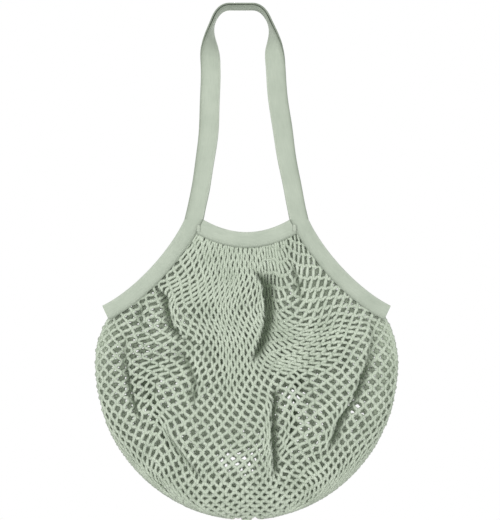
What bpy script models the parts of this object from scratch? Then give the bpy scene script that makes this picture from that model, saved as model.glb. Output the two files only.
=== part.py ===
"""Mesh produce bag: a knitted net pouch with a folded-tape rim and two long tape handles.

Frame: metres, +Z up, +X to the wearer's right, the front of the bag faces -Y.
The origin is where a hook or a hand carries the bag: the middle of the underside of
the front handle, where the tape is flat.

The bag hangs from its handles. Its mouth opens where the front and back rims swing apart
about hinge lines just below the side corners, and each handle folds outwards at its feet.
"""

import math

import bmesh
import bpy
from mathutils import Vector

# Cloth
STRAP_WIDTH = 0.025
BINDING_WIDTH = 0.021
CLOTH_LAYER = 0.001
NET_WALL = 0.0024
CLEARANCE = 0.0003

# Handles
HANDLE_DROP = 0.285
FOOT_SPREAD = 0.0708
LOOP_HALF_WIDTH = 0.0435
HOOK_FLAT = 0.015
ARCH_RISE = 0.055
TWIST_LENGTH = 0.060
HANDLE_GAP = 0.0012

# Rim
CORNER_SPREAD = 0.1943
CORNER_DROP = 0.116
DIP_DROP = 0.017
NET_TUCK = 0.007
MOUTH_HALF_DEPTH = 0.010
HINGE_HALF_DEPTH = 0.0145
HINGE_DROP = 0.024

# Pouch
BAG_HALF_WIDTH = 0.204
BAG_HALF_DEPTH = 0.032
WIDEST_DROP = 0.193
POUCH_LOWER_RADIUS = 0.209
POUCH_UPPER_RADIUS = 0.150
BELLY_RISE = 0.117
GATHER_RADIUS = 0.006
GATHER_CORD = 0.0028

# Stitched tacks
FOOT_TACK = (0.003, 0.010, 0.0008)
CORNER_SEAM_LENGTH = 0.014
CORNER_SEAM_WIDTH = 0.006

# Levels and half thicknesses that follow from the sizes above
FOOT_Z = -HANDLE_DROP
CORNER_Z = FOOT_Z - CORNER_DROP
HINGE_Z = CORNER_Z - HINGE_DROP
WIDEST_Z = FOOT_Z - WIDEST_DROP
BOTTOM_Z = WIDEST_Z - POUCH_LOWER_RADIUS
BELLY_Z = BOTTOM_Z + BELLY_RISE
STRAP_HALF = CLOTH_LAYER
SLOT_HALF = NET_WALL / 2 + CLEARANCE
BINDING_HALF = SLOT_HALF + CLOTH_LAYER
CORNER_HALF_DEPTH = BINDING_HALF + CLEARANCE + CLOTH_LAYER
FOOT_HALF_DEPTH = MOUTH_HALF_DEPTH

TAPE_COLOUR = (0.50, 0.56, 0.46, 1.0)
NET_COLOUR = (0.46, 0.53, 0.43, 1.0)
THREAD_COLOUR = (0.56, 0.61, 0.51, 1.0)


def clear_scene():
    for old in list(bpy.data.objects):
        bpy.data.objects.remove(old, do_unlink=True)


def cotton(name, colour, roughness):
    """A matt cotton material."""
    material = bpy.data.materials.new(name)
    material.use_nodes = True
    shader = material.node_tree.nodes["Principled BSDF"]
    shader.inputs["Base Color"].default_value = colour
    shader.inputs["Roughness"].default_value = roughness
    shader.inputs["Metallic"].default_value = 0.0
    material.diffuse_color = colour
    return material


def pivot(name, place, parent=None):
    """An empty on a joint's axis, which the moving pieces hang from."""
    empty = bpy.data.objects.new(name, None)
    bpy.context.collection.objects.link(empty)
    empty.empty_display_size = 0.02
    base = Vector()
    if parent is not None:
        empty.parent = parent
        base = Vector(parent["place"])
    empty.location = Vector(place) - base
    empty["place"] = tuple(place)
    return empty


def loft(name, sections, material, parent=None):
    """One closed solid through a row of point loops, capped at both ends."""
    base = Vector(parent["place"]) if parent is not None else Vector()
    mesh = bpy.data.meshes.new(name)
    bm = bmesh.new()
    rings = [[bm.verts.new(Vector(p) - base) for p in section] for section in sections]
    count = len(rings[0])
    for ring, following in zip(rings, rings[1:]):
        for i in range(count):
            j = (i + 1) % count
            bm.faces.new((ring[i], ring[j], following[j], following[i]))
    bm.faces.new(rings[0])
    bm.faces.new(rings[-1])
    bmesh.ops.recalc_face_normals(bm, faces=bm.faces)
    bm.to_mesh(mesh)
    bm.free()
    mesh.materials.append(material)
    mesh.shade_smooth()
    mesh.set_sharp_from_angle(angle=math.radians(35))
    piece = bpy.data.objects.new(name, mesh)
    bpy.context.collection.objects.link(piece)
    piece.parent = parent
    return piece


def mix(a, b, share):
    return a + (b - a) * share


def smooth(value, low, high):
    """0 at low, 1 at high, with level ends."""
    share = min(max((value - low) / (high - low), 0.0), 1.0)
    return share * share * (3 - 2 * share)


def bezier(points, share):
    """A point on a cubic curve through four (x, z) control points."""
    a, b, c, d = (Vector(p) for p in points)
    rest = 1 - share
    return a * rest**3 + b * 3 * rest**2 * share + c * 3 * rest * share**2 + d * share**3


# The pouch -------------------------------------------------------------------


def pouch_half_width(z):
    radius = POUCH_UPPER_RADIUS if z > WIDEST_Z else POUCH_LOWER_RADIUS
    share = (z - WIDEST_Z) / radius
    return max(BAG_HALF_WIDTH * math.sqrt(max(1 - share * share, 0.0)), GATHER_RADIUS)


def pouch_half_depth(z):
    """Outer half depth on the centre line: round below the belly, drawn flat at the rim."""
    if z < BELLY_Z:
        share = (BELLY_Z - z) / BELLY_RISE
        return max(BAG_HALF_DEPTH * math.sqrt(max(1 - share * share, 0.0)), GATHER_RADIUS)
    share = smooth(z, BELLY_Z, HINGE_Z)
    return mix(BAG_HALF_DEPTH, HINGE_HALF_DEPTH, share)


def pouch_ring(z, inset, count=48):
    """A level slice of the net: an oval at the belly that turns into a lens at the rim."""
    half_width = pouch_half_width(z) - inset
    half_depth = pouch_half_depth(z) - inset
    power = mix(1.0, 2.0, smooth(z, BELLY_Z, HINGE_Z))
    ring = []
    for i in range(count):
        angle = 2 * math.pi * i / count
        across = math.sin(angle)
        depth = math.copysign(abs(across) ** power, across) * half_depth
        ring.append((half_width * math.cos(angle), depth, z))
    return ring


def net_pouch(material):
    """The hollow net below the hinge line, open at the top and gathered at the bottom."""
    top = HINGE_Z - CLEARANCE / 2
    lowest = BOTTOM_Z
    inner_lowest = BOTTOM_Z + 4 * NET_WALL
    steps = 15
    outer = []
    inner = []
    for i in range(steps):
        fall = math.sin(math.pi / 2 * i / (steps - 1))
        outer.append(pouch_ring(mix(top, lowest, fall), 0.0))
        inner.append(pouch_ring(mix(top, inner_lowest, fall), NET_WALL))
    return loft("net_pouch", inner[::-1] + outer, material)


def bottom_gather(material):
    """The ring of cord that draws the bottom of the net together."""
    centre_z = BOTTOM_Z - GATHER_CORD / 2 - CLEARANCE
    mesh = bpy.data.meshes.new("bottom_gather")
    bm = bmesh.new()
    rings = []
    for i in range(20):
        turn = 2 * math.pi * i / 20
        ring = []
        for j in range(8):
            angle = 2 * math.pi * j / 8
            reach = GATHER_RADIUS + GATHER_CORD / 2 * math.cos(angle)
            height = centre_z + GATHER_CORD / 2 * math.sin(angle)
            ring.append(bm.verts.new((reach * math.cos(turn), reach * math.sin(turn), height)))
        rings.append(ring)
    for i, ring in enumerate(rings):
        following = rings[(i + 1) % len(rings)]
        for j in range(8):
            k = (j + 1) % 8
            bm.faces.new((ring[j], ring[k], following[k], following[j]))
    bmesh.ops.recalc_face_normals(bm, faces=bm.faces)
    bm.to_mesh(mesh)
    bm.free()
    mesh.materials.append(material)
    mesh.shade_smooth()
    piece = bpy.data.objects.new("bottom_gather", mesh)
    bpy.context.collection.objects.link(piece)
    return piece


# The rims --------------------------------------------------------------------


def rim_depth(x, z):
    """Half depth of the middle of the net wall above the hinge line."""
    centre = mix(
        HINGE_HALF_DEPTH - NET_WALL / 2,
        FOOT_HALF_DEPTH,
        (z - HINGE_Z) / (FOOT_Z - HINGE_Z),
    )
    across = max(1 - (x / pouch_half_width(HINGE_Z)) ** 2, 0.0)
    return mix(CORNER_HALF_DEPTH, centre, across)


def rim_edge(share):
    """The fold of the side binding: foot (0) to corner (1), right-hand side, as (x, z)."""
    foot = (FOOT_SPREAD + STRAP_WIDTH / 2, FOOT_Z)
    corner = (CORNER_SPREAD, CORNER_Z)
    reach = corner[0] - foot[0]
    steep = (foot[0] + 0.19 * reach, foot[1] - 0.39 * CORNER_DROP)
    flat = (corner[0] - 0.37 * reach, corner[1] + 0.17 * CORNER_DROP)
    return bezier((foot, steep, flat, corner), share)


def inward(share):
    """The way across the side binding, from its fold to its lip."""
    step = 0.001
    ahead = rim_edge(min(share + step, 1.0)) - rim_edge(max(share - step, 0.0))
    square = Vector((ahead.y, -ahead.x)).normalized()
    level = Vector((-1.0, 0.0))
    return level.lerp(square, smooth(share, 0.0, 0.3)).normalized()


def binding_width(share):
    return mix(STRAP_WIDTH, BINDING_WIDTH, smooth(share, 0.0, 0.3))


def side_lip(share):
    return rim_edge(share) + inward(share) * binding_width(share)


def dip_edge(x):
    """The fold of the mouth binding between the handle feet."""
    half = FOOT_SPREAD - STRAP_WIDTH / 2
    return Vector((x, FOOT_Z - DIP_DROP * (1 - (x / half) ** 2)))


def lip_way():
    """The direction in which the side binding's lip leaves the handle foot."""
    return (side_lip(0.15) - side_lip(0.0)).normalized()


def dip_across(x):
    """The way across the mouth binding: down in the middle, along the side binding's lip at the ends."""
    lip = lip_way()
    lean = Vector((math.copysign(lip.x, x), lip.y))
    half = FOOT_SPREAD - STRAP_WIDTH / 2
    return Vector((0.0, -1.0)).lerp(lean, min(abs(x) / half, 1.0) ** 2).normalized()


def folded_section(edge, across, width, sign):
    """A tape folded over the net: a U that is open on the net's side."""
    outline = [
        (0.0, -BINDING_HALF),
        (0.0, BINDING_HALF),
        (width, BINDING_HALF),
        (width, SLOT_HALF),
        (CLOTH_LAYER * 2, SLOT_HALF),
        (CLOTH_LAYER * 2, -SLOT_HALF),
        (width, -SLOT_HALF),
        (width, -BINDING_HALF),
    ]
    section = []
    for reach, lift in outline:
        place = edge + across * reach
        section.append((place.x, sign * (rim_depth(place.x, place.y) + lift), place.y))
    return section


def mirrored(section, hand):
    return [(hand * x, y, z) for x, y, z in section]


def side_binding(name, hand, sign, material, parent):
    sections = []
    for i in range(13):
        share = i / 12
        edge = rim_edge(share)
        section = folded_section(edge, inward(share), binding_width(share), sign)
        sections.append(mirrored(section, hand))
    return loft(name, sections, material, parent)


def mouth_binding(name, sign, material, parent):
    half = FOOT_SPREAD - STRAP_WIDTH / 2 - 2 * CLEARANCE
    sections = []
    for i in range(11):
        x = mix(-half, half, i / 10)
        sections.append(folded_section(dip_edge(x), dip_across(x), BINDING_WIDTH, sign))
    return loft(name, sections, material, parent)


def net_top(x):
    """How high the net reaches inside the folded tapes at a distance x from the middle."""
    x = abs(x)
    half = FOOT_SPREAD - STRAP_WIDTH / 2
    if x <= half:
        return dip_edge(x).y - NET_TUCK
    points = [Vector((half, dip_edge(half).y - NET_TUCK))]
    points += [rim_edge(i / 24) + inward(i / 24) * NET_TUCK for i in range(2, 25)]
    for a, b in zip(points, points[1:]):
        if a.x <= x <= b.x:
            return mix(a.y, b.y, (x - a.x) / (b.x - a.x))
    return points[-1].y


def net_rim(name, sign, material, parent):
    """The net above the hinge line, one wall thick, reaching up into the tapes."""
    bottom = HINGE_Z + CLEARANCE / 2
    outermost = rim_edge(1.0).x + inward(1.0).x * NET_TUCK - NET_WALL
    columns = 40
    rows = 5
    sections = []
    for i in range(columns + 1):
        x = outermost * math.sin(math.pi / 2 * (2 * i / columns - 1))
        top = net_top(x)
        levels = [mix(bottom, top, j / rows) for j in range(rows + 1)]
        near = [(x, sign * (rim_depth(x, z) + NET_WALL / 2), z) for z in levels]
        far = [(x, sign * (rim_depth(x, z) - NET_WALL / 2), z) for z in reversed(levels)]
        sections.append(near + far)
    return loft(name, sections, material, parent)


def foot_tack(name, hand, sign, material, parent):
    """The bar of stitches across the seam between the mouth binding and the side binding."""
    half_width, height, thickness = FOOT_TACK
    near = BINDING_HALF + CLEARANCE
    far = near + thickness
    outline = ((-half_width, near), (half_width, near), (half_width, far), (-half_width, far))
    sections = []
    for reach in (0.4 * BINDING_WIDTH, 0.4 * BINDING_WIDTH + height):
        centre = side_lip(0.0) + lip_way() * reach
        section = []
        for across, lift in outline:
            x = centre.x + across
            section.append((hand * x, sign * (rim_depth(x, centre.y) + lift), centre.y))
        sections.append(section)
    return loft(name, sections, material, parent)


def corner_seam(name, hand, material):
    """The stitched wad that joins the ends of the front and back tapes at a side corner."""
    along = (rim_edge(1.0) - rim_edge(0.9)).normalized()
    across = inward(1.0)
    tip = rim_edge(1.0) + across * (BINDING_WIDTH / 2)
    sections = []
    for step in (-CORNER_SEAM_WIDTH, -CLEARANCE):
        section = []
        for reach, face in ((-0.5, -1), (0.5, -1), (0.5, 1), (-0.5, 1)):
            place = tip + along * step + across * (reach * CORNER_SEAM_LENGTH)
            half = rim_depth(place.x, place.y) - BINDING_HALF - CLEARANCE
            section.append((hand * place.x, face * half, place.y))
        sections.append(section)
    return loft(name, sections, material)


# The handles -----------------------------------------------------------------


def handle_centre(share):
    """Half the loop between both handles, from a foot (0) to the middle of the top (1), as (x, z)."""
    foot = Vector((FOOT_SPREAD, FOOT_Z))
    top_z = STRAP_HALF + (2 * STRAP_HALF + HANDLE_GAP) / 2
    shoulder = Vector((LOOP_HALF_WIDTH, top_z - ARCH_RISE))
    rise = shoulder.y - foot.y
    if share < 0.6:
        points = (
            foot,
            (foot.x - 0.076 * rise, foot.y + 0.34 * rise),
            (shoulder.x, shoulder.y - 0.35 * rise),
            shoulder,
        )
        return bezier(points, share / 0.6)
    if share < 0.9:
        turn = math.pi / 2 * (share - 0.6) / 0.3
        reach = LOOP_HALF_WIDTH - HOOK_FLAT
        return Vector((HOOK_FLAT + reach * math.cos(turn), shoulder.y + ARCH_RISE * math.sin(turn)))
    return Vector((HOOK_FLAT * (1 - share) / 0.1, top_z))


def handle_section(share, hand, sign):
    """A slice of the strap: facing forwards at the foot, twisted a quarter turn at the top."""
    step = 0.002
    ahead = handle_centre(min(share + step, 1.0)) - handle_centre(max(share - step, 0.0))
    ahead.normalize()
    outwards = Vector((1.0, 0.0)).lerp(Vector((ahead.y, -ahead.x)), smooth(share, 0.0, 0.15))
    outwards.normalize()
    centre = handle_centre(share)
    twist_end = handle_centre(0.6).y + 0.5 * ARCH_RISE
    twist = math.pi / 2 * smooth(centre.y, twist_end - TWIST_LENGTH, twist_end)
    if share >= 0.75:
        twist = math.pi / 2
    flat = Vector((outwards.x, 0.0, outwards.y))
    back = Vector((0.0, 1.0, 0.0))
    width_way = flat * math.cos(twist) - back * math.sin(twist)
    thick_way = flat * math.sin(twist) + back * math.cos(twist)
    near_top = smooth(centre.y, FOOT_Z, twist_end - TWIST_LENGTH)
    apart = mix(2 * FOOT_HALF_DEPTH, 2 * STRAP_HALF + HANDLE_GAP, near_top)
    middle = Vector((centre.x, 0.0, centre.y)) + thick_way * (sign * apart / 2)
    corners = []
    columns = (-1.0, -0.5, 0.0, 0.5, 1.0)
    outline = [(across, -1) for across in columns] + [(across, 1) for across in reversed(columns)]
    for across, through in outline:
        place = middle + width_way * (across * STRAP_WIDTH / 2) + thick_way * (through * STRAP_HALF)
        corners.append((hand * place.x, place.y, place.z))
    return corners


def handle_strap(name, sign, material, parent):
    """One loop of folded tape from the left foot over the hook to the right foot."""
    shares = [mix(0.0, 0.42, i / 9) for i in range(9)]
    shares += [mix(0.42, 0.70, i / 26) for i in range(26)]
    shares += [mix(0.70, 0.90, i / 8) for i in range(9)]
    left = [handle_section(share, -1, sign) for share in shares]
    right = [handle_section(share, 1, sign) for share in reversed(shares)]
    left[0] = raise_foot(left[0])
    right[-1] = raise_foot(right[-1])
    return loft(name, left + right, material, parent)


def raise_foot(section):
    """The strap starts a clearance above the binding that it grows from."""
    return [(x, y, z + CLEARANCE) for x, y, z in section]


# Assembly --------------------------------------------------------------------


def build():
    clear_scene()
    tape = cotton("cotton_tape", TAPE_COLOUR, 0.85)
    net = cotton("cotton_net", NET_COLOUR, 0.9)
    thread = cotton("cotton_thread", THREAD_COLOUR, 0.8)
    net_pouch(net)
    bottom_gather(net)
    corner_seam("left_corner_seam", -1, thread)
    corner_seam("right_corner_seam", 1, thread)
    for side, sign in (("front", -1), ("back", 1)):
        rim_axis = (0.0, sign * (HINGE_HALF_DEPTH + CLEARANCE), HINGE_Z)
        rim = pivot(f"{side}_rim_axis", rim_axis)
        net_rim(f"{side}_net_rim", sign, net, rim)
        mouth_binding(f"{side}_mouth_binding", sign, tape, rim)
        for label, hand in (("left", -1), ("right", 1)):
            side_binding(f"{side}_{label}_side_binding", hand, sign, tape, rim)
            foot_tack(f"{side}_{label}_foot_tack", hand, sign, thread, rim)
        foot_y = rim_depth(FOOT_SPREAD - STRAP_WIDTH / 2, FOOT_Z) + BINDING_HALF + CLEARANCE
        handle = pivot(f"{side}_handle_axis", (0.0, sign * foot_y, FOOT_Z), rim)
        handle_strap(f"{side}_handle_strap", sign, tape, handle)


build()
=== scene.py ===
"""Looks of the mesh produce bag: a knitted cotton net, folded tape rims and two tape handles.

Frame: metres, +Z up, the front of the bag faces -Y, the origin is under the top of the handles.
A side is "front" (sign -1) or "back" (sign 1); hand is -1 for the left half and 1 for the right.
"""

import math
from typing import NamedTuple

import bpy
import numpy as np
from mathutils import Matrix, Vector


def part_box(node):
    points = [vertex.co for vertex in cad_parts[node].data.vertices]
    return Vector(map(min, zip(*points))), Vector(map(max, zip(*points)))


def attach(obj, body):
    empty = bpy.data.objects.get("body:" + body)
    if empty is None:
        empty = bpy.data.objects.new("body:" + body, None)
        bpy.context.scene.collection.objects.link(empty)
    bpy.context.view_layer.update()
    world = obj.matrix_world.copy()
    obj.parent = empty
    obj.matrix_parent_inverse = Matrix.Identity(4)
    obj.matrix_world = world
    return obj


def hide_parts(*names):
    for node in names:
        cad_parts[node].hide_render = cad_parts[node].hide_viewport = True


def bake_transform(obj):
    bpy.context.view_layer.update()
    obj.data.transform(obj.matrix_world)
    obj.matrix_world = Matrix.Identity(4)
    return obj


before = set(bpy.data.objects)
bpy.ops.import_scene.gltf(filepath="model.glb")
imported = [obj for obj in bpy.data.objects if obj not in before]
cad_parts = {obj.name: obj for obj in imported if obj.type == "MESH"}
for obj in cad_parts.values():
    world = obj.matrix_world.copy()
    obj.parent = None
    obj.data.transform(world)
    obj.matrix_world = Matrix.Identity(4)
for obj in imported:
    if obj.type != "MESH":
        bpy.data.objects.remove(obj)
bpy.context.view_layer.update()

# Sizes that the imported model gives
POUCH_LOW, POUCH_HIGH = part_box("net_pouch")
SIDE_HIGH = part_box("front_right_side_binding")[1]
HINGE_Z = POUCH_HIGH.z
BOTTOM_Z = POUCH_LOW.z
BAG_HALF_WIDTH = POUCH_HIGH.x
BAG_HALF_DEPTH = POUCH_HIGH.y
FOOT_Z = SIDE_HIGH.z
CORNER_X = SIDE_HIGH.x

# Tape
TAPE_WIDTH = 0.025
BINDING_WIDTH = 0.021
TAPE_LAYER = 0.0010
BINDING_HALF = 0.0025  # half the thickness of a tape folded over the net
FOOT_HALF = 0.0017  # the same at the handle's foot
SEAM_INSET = 0.0030  # from a binding's lip to its stitches
FOOT_X = 0.0708
CORNER_Z = -0.401
DIP = 0.017  # of the mouth's edge, below the handle feet
FOOT_HALF_DEPTH = 0.010
HINGE_HALF_DEPTH = 0.0133
CORNER_HALF_DEPTH = 0.0038

# Pouch
WIDEST_Z = FOOT_Z - 0.193
LOWER_RADIUS = WIDEST_Z - BOTTOM_Z
UPPER_RADIUS = 0.150
BELLY_Z = BOTTOM_Z + 0.117
GATHER_RADIUS = 0.006
WALL_HALF = 0.0012
EDGE_SPLIT_Z = -0.455  # from here up to the corners, the faces part at the bag's side edges
RIM_FULL_Z = -0.405  # from here up, the net lies as the rims do

# Net
WALES = 58
ROW = 0.0083
CORD = 0.0022  # radius
STEPS = 5  # points of a cord per row
RING = 6  # points round a cord
NET_TUCK = 0.007  # how far the net reaches in under a tape's lip

# Where the bag is seen from: the camera's place, and its distance in front of the bag
SIGHT = 1.6
SIGHT_X = 0.0047
SIGHT_Z = -0.3395


def mix(a, b, share):
    return a + (b - a) * share


def smooth(value, low, high):
    """0 at low, 1 at high, with level ends; works on arrays."""
    share = np.clip((np.asarray(value, float) - low) / (high - low), 0.0, 1.0)
    return share * share * (3 - 2 * share)


def bump(x, z, place, size):
    """A round soft hill in the plane of the bag, 1 at its middle."""
    return np.exp(-(((x - place[0]) / size[0]) ** 2) - ((z - place[1]) / size[1]) ** 2)


def ridge(off, reach):
    """1 where off is 0, fading within the reach to both sides."""
    return np.exp(-((off / reach) ** 2))


def unit(vectors):
    return vectors / np.linalg.norm(vectors, axis=-1, keepdims=True)


def distances(points):
    """How far along a line of points each of them lies."""
    return np.concatenate(([0], np.cumsum(np.linalg.norm(np.diff(points, axis=0), axis=1))))


def curve(start, leaving, arriving, end, share):
    """A cubic curve between two points, drawn towards two others on its way."""
    rest = 1 - share
    first = start * rest**3 + leaving * 3 * rest**2 * share
    return first + arriving * 3 * rest * share * share + end * share**3


# The bag's surface ---


def half_width(z):
    """Half the pouch's width at a height."""
    z = np.asarray(z, float)
    radius = np.where(z > WIDEST_Z, UPPER_RADIUS, LOWER_RADIUS)
    share = (z - WIDEST_Z) / radius
    return np.maximum(BAG_HALF_WIDTH * np.sqrt(np.clip(1 - share * share, 0, 1)), GATHER_RADIUS)


HINGE_HALF_WIDTH = float(half_width(HINGE_Z))


def middle_depth(z):
    """Half depth of the net on the centre line, below the hinge line."""
    z = np.asarray(z, float)
    fall = (BELLY_Z - z) / (BELLY_Z - BOTTOM_Z)
    round_end = BAG_HALF_DEPTH * np.sqrt(np.clip(1 - np.clip(fall, 0, 1) ** 2, 0, 1))
    drawn = mix(BAG_HALF_DEPTH, HINGE_HALF_DEPTH + WALL_HALF, smooth(z, BELLY_Z, HINGE_Z))
    return np.maximum(np.where(z < BELLY_Z, round_end, drawn), GATHER_RADIUS) - WALL_HALF


def rim_depth(x, z):
    """Half depth of the net above the hinge line."""
    centre = mix(HINGE_HALF_DEPTH, FOOT_HALF_DEPTH, (z - HINGE_Z) / (FOOT_Z - HINGE_Z))
    across = np.clip(1 - (x / HINGE_HALF_WIDTH) ** 2, 0, 1)
    return mix(CORNER_HALF_DEPTH, centre, across)


def net_depth(x, z):
    """Distance of the net from the middle plane of the bag, anywhere on its face."""
    x, z = np.broadcast_arrays(np.asarray(x, float), np.asarray(z, float))
    share = np.clip(np.abs(x) / half_width(z), 0, 1)
    power = 0.5 * mix(1.0, 2.0, smooth(z, BELLY_Z, HINGE_Z))
    pouch = middle_depth(z) * np.clip(1 - share**2, 1e-6, 1) ** power
    blunt = np.sqrt(np.clip(1 - share**12, 0, 1))
    edge = CORNER_HALF_DEPTH * blunt * smooth(z, EDGE_SPLIT_Z, CORNER_Z)
    lower = np.maximum(pouch, edge)
    return np.where(z > HINGE_Z, mix(lower, rim_depth(x, z), smooth(z, HINGE_Z, RIM_FULL_Z)), lower)


# The tapes' edges, right-hand side, as arrays of (x, z) ---

FOOT_PULL = (0.19, -0.39)  # how the side binding leaves the foot, as shares of its reach and its drop
CORNER_PULL = (-0.37, 0.17)  # how it comes to the corner
FOOT_SHARE = 0.3  # of the side binding, in which it turns and narrows from the strap's foot


def rim_edge(share):
    """The fold of the side binding, from the handle's foot (0) to the side corner (1)."""
    share = np.asarray(share, float)[..., None]
    foot = np.array((FOOT_X + TAPE_WIDTH / 2, FOOT_Z))
    corner = np.array((CORNER_X, CORNER_Z))
    reach = corner[0] - foot[0]
    drop = foot[1] - corner[1]
    steep = foot + np.array((FOOT_PULL[0] * reach, FOOT_PULL[1] * drop))
    flat = corner + np.array((CORNER_PULL[0] * reach, CORNER_PULL[1] * drop))
    return curve(foot, steep, flat, corner, share)


def inward(share):
    """The way across the side binding, from its fold to its lip."""
    share = np.asarray(share, float)
    ahead = rim_edge(np.minimum(share + 0.001, 1)) - rim_edge(np.maximum(share - 0.001, 0))
    square = unit(np.stack((ahead[..., 1], -ahead[..., 0]), -1))
    turn = smooth(share, 0.0, FOOT_SHARE)[..., None]
    return unit(np.array((-1.0, 0.0)) * (1 - turn) + square * turn)


def binding_width(share):
    return mix(TAPE_WIDTH, BINDING_WIDTH, smooth(share, 0.0, FOOT_SHARE))


def side_lip(share, inside=0.0):
    """The lip of the side binding, or a line that runs a distance inside it."""
    width = np.asarray(binding_width(share) - inside)
    return rim_edge(share) + inward(share) * width[..., None]


DIP_HALF = FOOT_X - TAPE_WIDTH / 2
LIP_WAY = unit(side_lip(FOOT_SHARE / 2) - side_lip(0.0))


def dip_edge(x):
    """The fold of the mouth binding between the handle feet."""
    x = np.asarray(x, float)
    return np.stack((x, FOOT_Z - DIP * (1 - (x / DIP_HALF) ** 2)), -1)


def dip_across(x):
    """The way across the mouth binding: down in the middle, along the side tape at its ends."""
    x = np.asarray(x, float)
    slant = np.stack((np.sign(x) * LIP_WAY[0], np.full_like(x, LIP_WAY[1])), -1)
    share = (np.minimum(np.abs(x) / DIP_HALF, 1) ** 2)[..., None]
    return unit(np.array((0.0, -1.0)) * (1 - share) + slant * share)


def tape_line(inside):
    """The height, for any x, of a line that runs a distance inside the tapes' lips."""
    x = np.linspace(0, DIP_HALF, 12)
    middle = dip_edge(x) + dip_across(x) * (BINDING_WIDTH - inside)
    side = side_lip(np.linspace(0.02, 1, 60), inside)
    side = side[side[:, 0] > middle[-1, 0]]
    line = np.concatenate((middle, side))
    return lambda x: np.interp(np.abs(x), line[:, 0], line[:, 1])


LIP = tape_line(0.0)
NET_END = tape_line(NET_TUCK)


# Meshes and materials ---


def new_object(name, points, faces, material, attributes=()):
    mesh = bpy.data.meshes.new(name)
    mesh.from_pydata([tuple(p) for p in np.asarray(points, float)], [], faces)
    mesh.update()
    for label, values in attributes:
        values = np.asarray(values, np.float32)
        kind, field = ("FLOAT", "value") if values.ndim == 1 else ("FLOAT_VECTOR", "vector")
        mesh.attributes.new(label, kind, "POINT").data.foreach_set(field, values.ravel())
    mesh.materials.append(material)
    mesh.shade_smooth()
    piece = bpy.data.objects.new(name, mesh)
    bpy.context.collection.objects.link(piece)
    return piece


def grid_faces(rows, columns, base=0):
    """Quads of a closed tube whose rings have this many points, and its two end caps."""
    i = np.arange(rows - 1)[:, None] * columns + base
    j = np.arange(columns)[None, :]
    k = (j + 1) % columns
    quads = np.stack((i + j, i + k, i + columns + k, i + columns + j), -1).reshape(-1, 4)
    faces = quads.tolist()
    faces.append((np.arange(columns)[::-1] + base).tolist())
    faces.append((np.arange(columns) + base + (rows - 1) * columns).tolist())
    return faces


class Nodes:
    """A short way to write a node material."""

    def __init__(self, name):
        self.material = bpy.data.materials.new(name)
        self.material.use_nodes = True
        self.tree = self.material.node_tree
        self.shader = self.tree.nodes["Principled BSDF"]

    def add(self, kind, inputs=(), **settings):
        node = self.tree.nodes.new(kind)
        for key, value in settings.items():
            setattr(node, key, value)
        for key, value in dict(inputs).items():
            if isinstance(value, bpy.types.NodeSocket):
                self.tree.links.new(value, node.inputs[key])
            else:
                node.inputs[key].default_value = value
        return node

    def math(self, operation, a, b=0.0):
        return self.add("ShaderNodeMath", {0: a, 1: b}, operation=operation).outputs[0]

    def weigh(self, first, weight, second, other_weight):
        """The sum of two values, each times its weight."""
        other = self.math("MULTIPLY", second, other_weight)
        return self.math("ADD", self.math("MULTIPLY", first, weight), other)

    def attribute(self, name, output):
        return self.add("ShaderNodeAttribute", attribute_name=name).outputs[output]

    def split(self, vector):
        """The three parts of a vector."""
        return self.add("ShaderNodeSeparateXYZ", {0: vector}).outputs

    def colour_mix(self, share, a, b, blend="MIX"):
        inputs = {0: share, 6: a, 7: b}  # the node's places for colours
        return self.add("ShaderNodeMix", inputs, data_type="RGBA", blend_type=blend).outputs[2]

    def ramp(self, tone, low, dark, high, light):
        """Dark where the tone is low, light where it is high."""
        node = self.add("ShaderNodeValToRGB", {0: tone})
        for end, position, colour in ((0, low, dark), (1, high, light)):
            node.color_ramp.elements[end].position = position
            node.color_ramp.elements[end].color = colour
        return node.outputs[0]

    def noise(self, scale, detail=3.0, vector=None):
        inputs = {"Scale": scale, "Detail": detail, "Roughness": 0.55}
        if vector is not None:
            inputs["Vector"] = vector
        return self.add("ShaderNodeTexNoise", inputs).outputs["Fac"]

    def place(self):
        return self.add("ShaderNodeTexCoord").outputs["Object"]

    def finish(self, colour, height, strength, distance, roughness, sheen):
        shader = self.shader
        self.tree.links.new(colour, shader.inputs["Base Color"])
        relief = self.add("ShaderNodeBump", {"Strength": strength, "Distance": distance, "Height": height})
        self.tree.links.new(relief.outputs[0], shader.inputs["Normal"])
        shader.inputs["Roughness"].default_value = roughness
        shader.inputs["Specular IOR Level"].default_value = 0.25
        shader.inputs["Sheen Weight"].default_value = sheen
        shader.inputs["Sheen Roughness"].default_value = 0.5
        return self.material


def rgb(r, g, b):
    return (r, g, b, 1.0)


TWIST_RATE = 2400.0  # of the cord's plies, in radians a metre
FIBRE_SCALE = 2600.0
THREAD_RATE = 2 * math.pi / 0.00062  # of the tape's threads, in radians a metre
DEEP_SHADE = rgb(0.28, 0.32, 0.26)  # painted shade of cord that has sunk into a fold, and of the back where it hangs in shade
# Tint of the tapes' paler edge, and the painted shade for their other edge
PALE_EDGE = rgb(0.58, 0.62, 0.54)
PAINTED_EDGE_SHADE = rgb(0.45, 0.47, 0.44)


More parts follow.
